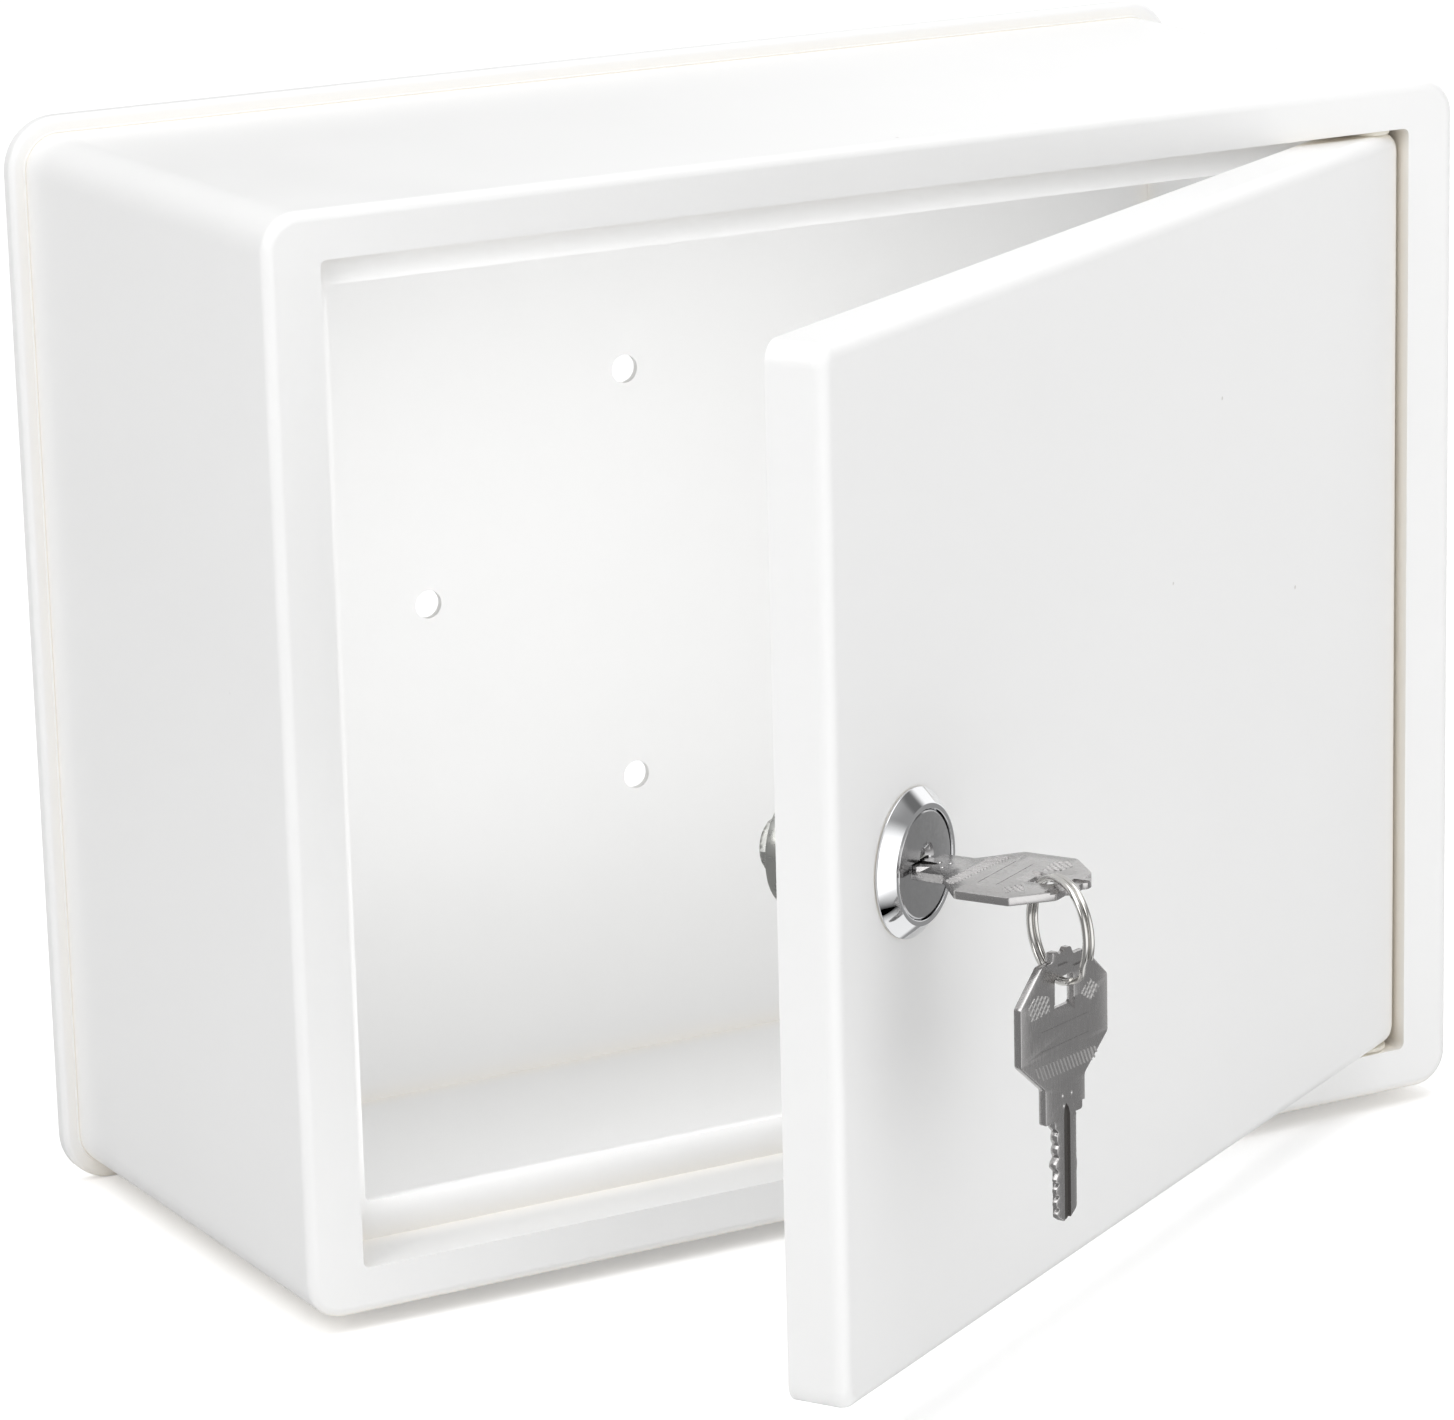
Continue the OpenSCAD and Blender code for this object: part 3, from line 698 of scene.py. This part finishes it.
tail = block([octagon(TAIL / 2, TAIL_BEVEL, BARREL_L - 0.1),
              octagon(TAIL / 2, TAIL_BEVEL, BARREL_L + TAIL_L - 0.25),
              octagon(TAIL / 2, TAIL_BEVEL + 0.25, BARREL_L + TAIL_L)], "tail")
bm = as_bmesh(carved(tail, [bore]))
bm.from_mesh(carved(carved(body, [keyway, funnel, pocket, slots]), [bore]))
settle(bm, "plug_with_keyway", LOCK, satin, "plug", ["lock_plug"], sharp=28)


# ---- Shutter, wafers and springs ----
# A sprung steel flap closes the keyway behind the face. Behind it six stamped brass wafers
# slide in the plug, each with a window for the key and a small coil spring in its notch.

FLAP_HALF_W, FLAP_FROM, FLAP_L, FLAP_T, FLAP_RISE, FLAP_STEPS = 1.15, 0.42, 0.76, 0.1, 0.07, 8
COIL_R, COIL_PITCH, COIL_TURNS, COIL_STEPS, COIL_WIRE_R = 0.2, 0.14, 4, 14, 0.055
COIL_X, COIL_Z = 2.66, 1.95

brass = surface("stamped_brass", ((0.62, 0.43, 0.17), (0.76, 0.56, 0.27)), 350, (0.25, 0.4),
                (2500, 0.000005), 1.0)
flap = []
for k in range(FLAP_STEPS + 1):
    y = -FACE_OUT + FLAP_FROM + FLAP_L * k / FLAP_STEPS
    under = SLOT_T / 2 + 0.11 + FLAP_RISE * math.sin(k / FLAP_STEPS * math.pi)
    corners = ((-1, 0), (1, 0), (1, FLAP_T), (-1, FLAP_T))
    flap.append([(side * FLAP_HALF_W, y, under + lift) for side, lift in corners])
settle(as_bmesh(block(flap, "flap")), "shutter_flap", LOCK, zinc, "plug", ["keyway_shutter"])
softened("wafer_tumblers", "wafers_stamped", 0.00006, brass, "plug")

turns = [(COIL_R * math.cos(a), COIL_R * math.sin(a), COIL_PITCH * a / math.tau)
         for a in (k * math.tau / COIL_STEPS for k in range(COIL_TURNS * COIL_STEPS + 1))]
coil = grown(wire_on_path, track(turns), Radius=COIL_WIRE_R, Material=zinc)
coil.transform(Matrix.Translation((COIL_X, WAFER_FROM, COIL_Z)) @ Matrix.Rotation(math.pi / 2, 4, "Y"))
coils = as_bmesh(grown(along_line, coil, Count=WAFERS, Step=(0, WAFER_PITCH, 0), Material=zinc))
settle(coils, "wafer_coil_springs", LOCK, zinc, "plug", ["wafer_springs"], sharp=60)


# ---- Stop washer, cam, spring washer and screw ----
# A washer on the square tail whose tab meets the lug of the barrel, a cranked cam pressed from
# 2 mm steel and zinc-plated, and a hexagon screw with a split washer that holds them on.

STOP_T, CAM_T, SPLIT_T = 1.1, 2.0, 0.9
HEX_AF, HEX_T, SCREW_D, SCREW_PITCH, SCREW_THREAD_T = 7.0, 2.6, 3.3, 0.6, 0.22
HEAD_FROM = BARREL_L + STOP_T + CAM_T + SPLIT_T

softened("cam_stop_washer", "cam_stop_washer_pressed", 0.00012, zinc, "plug")
softened("cam", "cam_pressed", 0.00025, zinc, "plug", segments=3)
softened("cam_spring_washer", "cam_spring_washer_split", 0.00012, zinc, "plug")


def head_outside(a, y):
    from_washer, from_top = y - HEAD_FROM, HEAD_FROM + HEX_T - y
    return min(hexagon(HEX_AF, a), 3.75 + from_washer * 1.5, 3.35 + from_top * 1.3)


def screw_outside(a, y):
    return SCREW_D / 2 - SCREW_THREAD_T * thread(a, y, SCREW_PITCH)


def solid_core(a, y):
    return NOTHING


head_levels = [HEAD_FROM + y for y in (0, 0.1, 0.25, 1.2, 1.8, 2.1, 2.35, 2.5, HEX_T)]
bm = bmesh.new()
shell(bm, head_levels, head_outside, solid_core, 96)
shell(bm, steps_between(BARREL_L + 0.2, HEAD_FROM + 0.1, 0.08), screw_outside, solid_core, 32)
settle(bm, "cam_screw_hexagon", LOCK, zinc, "plug", ["cam_screw"])


# ---- Keys ----
# Two alike, stamped from 1.2 mm brass and nickel-plated: a blade with a milled groove and cuts
# on one edge, a six-sided bow with coined hatching and a square hole, and a stepped tab.

KEY_T, BEVEL, BOW_W, BOW_FROM, BOW_TO, BOW_TOP_W = 1.2, 0.14, 20.2, 7.75, 24.85, 10.2
WIDE_FROM, WIDE_TO, SHANK_W, BLADE_W, BLADE_L = 12.25, 20.25, 9.2, 5.0, 14.5
HOLE_W, HOLE_TO, HOLE_MID = 4.3, 22.45, 20.35
GROOVE_X, GROOVE_W, GROOVE_END, GROOVE_T = -0.3, 1.4, -SHOULDER - 1.9, 0.45
LEDGE_FROM, LEDGE_TO = 17.25, 19.0
RULES, RULE_HALF_L, RULE_W, RULE_T = (16.1, 13.4), 5.5, 0.12, 0.05
HATCH_PITCH, HATCH_HALF_W, COLLAR_PITCH, COLLAR_HALF_W, HATCH_T = 0.78, 0.15, 0.72, 0.14, 0.1

# Distance from the shoulder to the tip, and how far the edge is from the middle
CUTS = [(0.9, 2.5), (1.2, 2.15), (1.66, 1.7), (2.1, 2.05), (2.8, 2.05), (3.46, 1.6), (3.9, 2.0), (4.6, 2.0),
        (5.2, 1.6), (5.6, 2.1), (6.0, 2.4), (6.5, 2.45), (7.1, 1.75), (7.6, 1.95), (8.1, 2.35), (8.4, 2.35),
        (8.86, 1.55), (9.4, 2.35), (10.1, 2.35), (10.66, 1.55), (11.2, 2.35), (11.9, 2.35), (12.46, 1.55),
        (13.0, 2.3), (13.5, 1.9), (14.45, 0.5), (14.5, -0.5), (13.4, -2.2), (12.9, -2.5), (8.2, -2.5),
        (7.3, -2.62), (6.6, -2.62), (6.2, -2.5)]
# Across the key, and beyond the end of the bow
TAB = [(-2.5, 0), (-1.9, 1.2), (-0.8, 1.25), (-0.5, 0.75), (0.9, 0.75), (1.3, 1.3), (2.6, 1.3), (2.75, 0)]
# Patches of hatching, across the key and along it: two on the bow and one over the shank
PATCHES = [[(8.4, -20.0), (6.6, -21.4), (3.7, -20.6), (3.5, -18.4), (7.7, -18.1)],
           [(-3.7, -19.1), (-6.0, -20.5), (-8.1, -18.9), (-6.4, -17.4), (-5.0, -18.2)]]
COLLAR = [(7.4, -11.5), (5.5, -9.3), (-6.7, -9.1), (-7.8, -10.6), (-6.3, -10.9)]

half_bow, half_shank, half_top, front = BOW_W / 2, SHANK_W / 2, BOW_TOP_W / 2, KEY_T / 2
outline = ([(half_shank, -SHOULDER), (BLADE_W / 2, -SHOULDER)] + [(x, s - SHOULDER) for s, x in CUTS]
           + [(-BLADE_W / 2, -SHOULDER), (-half_shank, -SHOULDER), (-half_shank, -BOW_FROM),
              (-half_bow, -WIDE_FROM), (-half_bow, -WIDE_TO), (-half_top, -BOW_TO)]
           + [(x, -BOW_TO - beyond) for x, beyond in TAB]
           + [(half_top, -BOW_TO), (half_bow, -WIDE_TO), (half_bow, -WIDE_FROM), (half_shank, -BOW_FROM)])


def softer(points, r):
    """Closed outline with its corners cut to small arcs."""
    done = []
    for i, here in enumerate(points):
        here = Vector(here)
        back, on = Vector(points[i - 1]) - here, Vector(points[(i + 1) % len(points)]) - here
        e = min(r, back.length * 0.4, on.length * 0.4)
        start, stop = here + back.normalized() * e, here + on.normalized() * e
        done += [tuple(start.lerp(here, t).lerp(here.lerp(stop, t), t)) for t in (0, 0.33, 0.67, 1)]
    return done


def sheet_blank(loops, thickness, bevel):
    """Flat blank with broken edges, from closed outlines; the ones inside are holes."""
    curve = bpy.data.curves.new("blank", "CURVE")
    curve.dimensions = "2D"
    curve.fill_mode = "BOTH"
    curve.extrude = thickness / 2 - bevel
    curve.bevel_depth = bevel
    curve.bevel_resolution = 1
    curve.offset = -bevel
    for loop in loops:
        spline = curve.splines.new("POLY")
        spline.points.add(len(loop) - 1)
        spline.points.foreach_set("co", [v for x, y in loop for v in (x, y, 0, 1)])
        spline.use_cyclic_u = True
    return cleaned(as_bmesh(plain(as_object(curve))), "blank")


def sunk(points, depth, draft=0.0):
    """Cutter that sinks this outline into the front face, wider above it by the draft."""
    middle = sum((Vector(p) for p in points), Vector((0, 0))) / len(points)
    wide = [middle + (Vector(p) - middle) * (1 + draft) for p in points]
    top = front + depth * 0.3 + 0.05
    return block([[(*p, front - depth) for p in points], [(*p, top) for p in wide]], "sunk")


def dimple(x, n):
    cup = revolved([(0, 0), (0, 0.16), (0.1, 0.3), (0.16, 0.34), (0.3, 0.36), (0.3, 0)], 20, "dimple")
    cup.transform(Matrix.Translation((x, -n, front - 0.12)) @ Matrix.Rotation(math.pi / 2, 4, "X"))
    return cup


hole = [(x * HOLE_W / 2, -HOLE_MID + y * (HOLE_TO - HOLE_MID)) for x, y in SQUARE]
blank = sheet_blank([softer(outline, 0.35), softer(hole, 0.5)], KEY_T, BEVEL)
groove_left, groove_right = GROOVE_X - GROOVE_W / 2, GROOVE_X + GROOVE_W / 2
groove = sunk([
    (groove_left, BLADE_L), (groove_left, -SHOULDER - 0.2), (-0.7, -SHOULDER - 1.2), (-0.15, GROOVE_END),
    (0.25, -SHOULDER - 1.2), (groove_right, -SHOULDER - 0.2), (groove_right, BLADE_L)], GROOVE_T, 0.03)
ledge = block([[(x, -LEDGE_FROM, front + 0.02), (x, -LEDGE_FROM, front + 0.4), (x, -LEDGE_TO, front + 0.4),
                (x, -LEDGE_TO, -0.05), (x, -18.4, 0.02)]
               for x in (-HOLE_W / 2 - 0.2, HOLE_W / 2 + 0.25)], "ledge")
relief = block([
    [(x, y, front + 0.02) for x, y in ((-1.7, -4.3), (-5.2, -4.15), (-5.2, -2.5), (-2.5, -2.5))],
    [(x, y, front - 0.5) for x, y in ((-2.6, -4.0), (-5.2, -3.9), (-5.2, -2.5), (-3.0, -2.5))]], "relief")
tab_step = sunk([(1.5, -24.1), (-1.1, -24.05), (-2.4, -23.2), (-5.8, -23.3), (-5.8, -27), (1.5, -27)], 0.28)
back_rabbet = block([[(1.5, 4.4, z), (4, 4.0, z), (4, 12.5, z), (1.5, 12.5, z)]
                     for z in (-1, -0.08)], "rabbet")
dimples = [dimple(x, n) for x, n in ((0.8, 6.0), (-1.3, 5.9), (0.55, 4.54))]
rules = [sunk([(-RULE_HALF_L, -n), (RULE_HALF_L, -n), (RULE_HALF_L, -n + RULE_W),
               (-RULE_HALF_L, -n + RULE_W)], RULE_T) for n in RULES]
stamped = carved(blank, [groove, ledge, relief, tab_step, back_rabbet, *dimples, *rules])


def hatching(patch, pitch, half_width, leans):
    """Raised bars at each lean, inside the outline of the patch."""
    xs, ys = [p[0] for p in patch], [p[1] for p in patch]
    middle = Vector(((min(xs) + max(xs)) / 2, (min(ys) + max(ys)) / 2))
    reach = max(max(xs) - min(xs), max(ys) - min(ys)) * 0.75
    foot, ridge = (half_width, front - 0.06), (half_width * 0.2, front + HATCH_T)
    profile = [(-foot[0], foot[1]), foot, ridge, (-ridge[0], ridge[1])]
    inside = []
    for lean in leans:
        bar = block([[(x, y, z) for x, z in profile] for y in (-reach, reach)], "bar")
        bar.transform(Matrix.Translation((-reach, 0, 0)))
        row = grown(along_line, bar, Count=int(2 * reach / pitch) + 1, Step=(pitch, 0, 0), Material=zinc)
        row.transform(Matrix.Translation((*middle, 0)) @ Matrix.Rotation(math.radians(lean), 4, "Z"))
        border = block([[(*p, z) for p in patch] for z in (front - 0.5, front + 0.5)], "patch")
        inside.append(carved(row, [border], "INTERSECT"))
    return inside


coined = [bars for patch in PATCHES for bars in hatching(patch, HATCH_PITCH, HATCH_HALF_W, (32, -42))]
coined += hatching(COLLAR, COLLAR_PITCH, COLLAR_HALF_W, (25,))
nickel = surface("nickel_plated_key", ((0.48, 0.47, 0.47), (0.54, 0.53, 0.525)), 200, (0.2, 0.3),
                 (1500, 0.0000012), 1.0, stretch=(5, 1, 1), along="grain")
# Painted highlight: the hatching bars of the hanging key get a much lighter copy of the nickel, standing in
# for the light the bars catch; the key in the lock keeps its bars in plain nickel.
bars_painted_highlight = surface("hatching_painted_highlight", ((0.84, 0.83, 0.82), (0.92, 0.91, 0.9)), 600, (0.12, 0.2),
                    (2500, 0.000001), 1.0, along="grain")
# Painted shade: the faces in the key's groove get a near-black copy of the metal, the groove's shade painted
# into its colour.
groove_painted_shade = surface("key_groove_painted_shade", ((0.1, 0.095, 0.09), (0.2, 0.19, 0.18)), 500, (0.4, 0.6),
                 (3000, 0.000004), 1.0, stretch=(1, 0.2, 1), along="grain")


def in_groove(face):
    x, y, z = face.calc_center_median()
    return abs(x - GROOVE_X) < GROOVE_W / 2 + 0.04 and y > GROOVE_END - 0.15 and -0.1 < z < front - 0.3


def cut_key(name, place, body, node, hatched):
    """One whole key, with a UV map that follows its length for the brushed finish."""
    bm = as_bmesh(stamped)
    for face in bm.faces:
        # Faces in the groove take the second slot, the painted shade.
        face.material_index = int(in_groove(face))
    plain_faces = len(bm.faces)
    for bars in coined:
        bm.from_mesh(bars)
    bm.faces.ensure_lookup_table()
    for face in bm.faces[plain_faces:]:
        face.material_index = 2
    grain = bm.loops.layers.uv.new("grain")
    for face in bm.faces:
        for loop in face.loops:
            loop[grain].uv = (loop.vert.co.xy + Vector((loop.vert.co.z, 0))) * 0.001
    key = settle(bm, name, place, nickel, body, [node], sharp=25)
    key.data.materials.append(groove_painted_shade)
    key.data.materials.append(hatched)


cut_key("key_in_lock", LOCK @ Matrix.Translation((-KEY_OFF, 0, 0)), "key", "key", nickel)

RING_TURN, RING_ALONG, RING_DROP, RING_R, WIRE_D = math.radians(31), 3.9, 5.5, 7.0, 0.95
SPARE_TURN, SPARE_REST = math.radians(172.5), 0.755
towards_lock = Vector((math.sin(RING_TURN), math.cos(RING_TURN), 0))
ring_at = Vector((-KEY_OFF, -HOLE_MID, -RING_DROP)) - towards_lock * RING_ALONG
hanging_from = ring_at + Vector((0, 0, SPARE_REST - RING_R))
hung = (Matrix.Translation(hanging_from) @ Matrix.Rotation(SPARE_TURN, 4, "Z")
        @ Matrix.Rotation(-math.pi / 2, 4, "X") @ Matrix.Translation((0, HOLE_TO, 0)))
# Its hatching takes the lighter copy, a painted highlight.
cut_key("key_on_ring", LOCK @ hung, "spare", "spare_key", bars_painted_highlight)


# ---- Split ring ----
# Hard steel wire wound two turns side by side and nickel-plated; the turns step over each
# other low on the outer side, between the two cut ends.

WIRE_R = WIRE_D / 2 - 0.035
CUT_END, WIND, STEP_FROM, STEP_SWEEP, RING_STEPS = 240, 680, 565, 30, 240

bright_wire = surface("nickel_plated_wire", ((0.56, 0.55, 0.53), (0.66, 0.65, 0.63)), 300, (0.05, 0.1),
                      (1500, 0.000002), 1.0)
sideways = Vector((math.cos(RING_TURN), -math.sin(RING_TURN), 0))
points = []
for k in range(RING_STEPS + 1):
    angle = CUT_END + WIND * k / RING_STEPS
    a, step = math.radians(angle), min(1, max(0, (angle - STEP_FROM) / STEP_SWEEP))
    side = WIRE_R * (2 * step * step * (3 - 2 * step) - 1)
    spoke = towards_lock * math.cos(a) + Vector((0, 0, math.sin(a)))
    points.append(ring_at + spoke * RING_R + sideways * side)
ring = as_bmesh(grown(wire_on_path, track(points), Radius=WIRE_R, Material=bright_wire))
settle(ring, "split_ring_wire", LOCK, bright_wire, "ring", ["key_ring"], sharp=50)
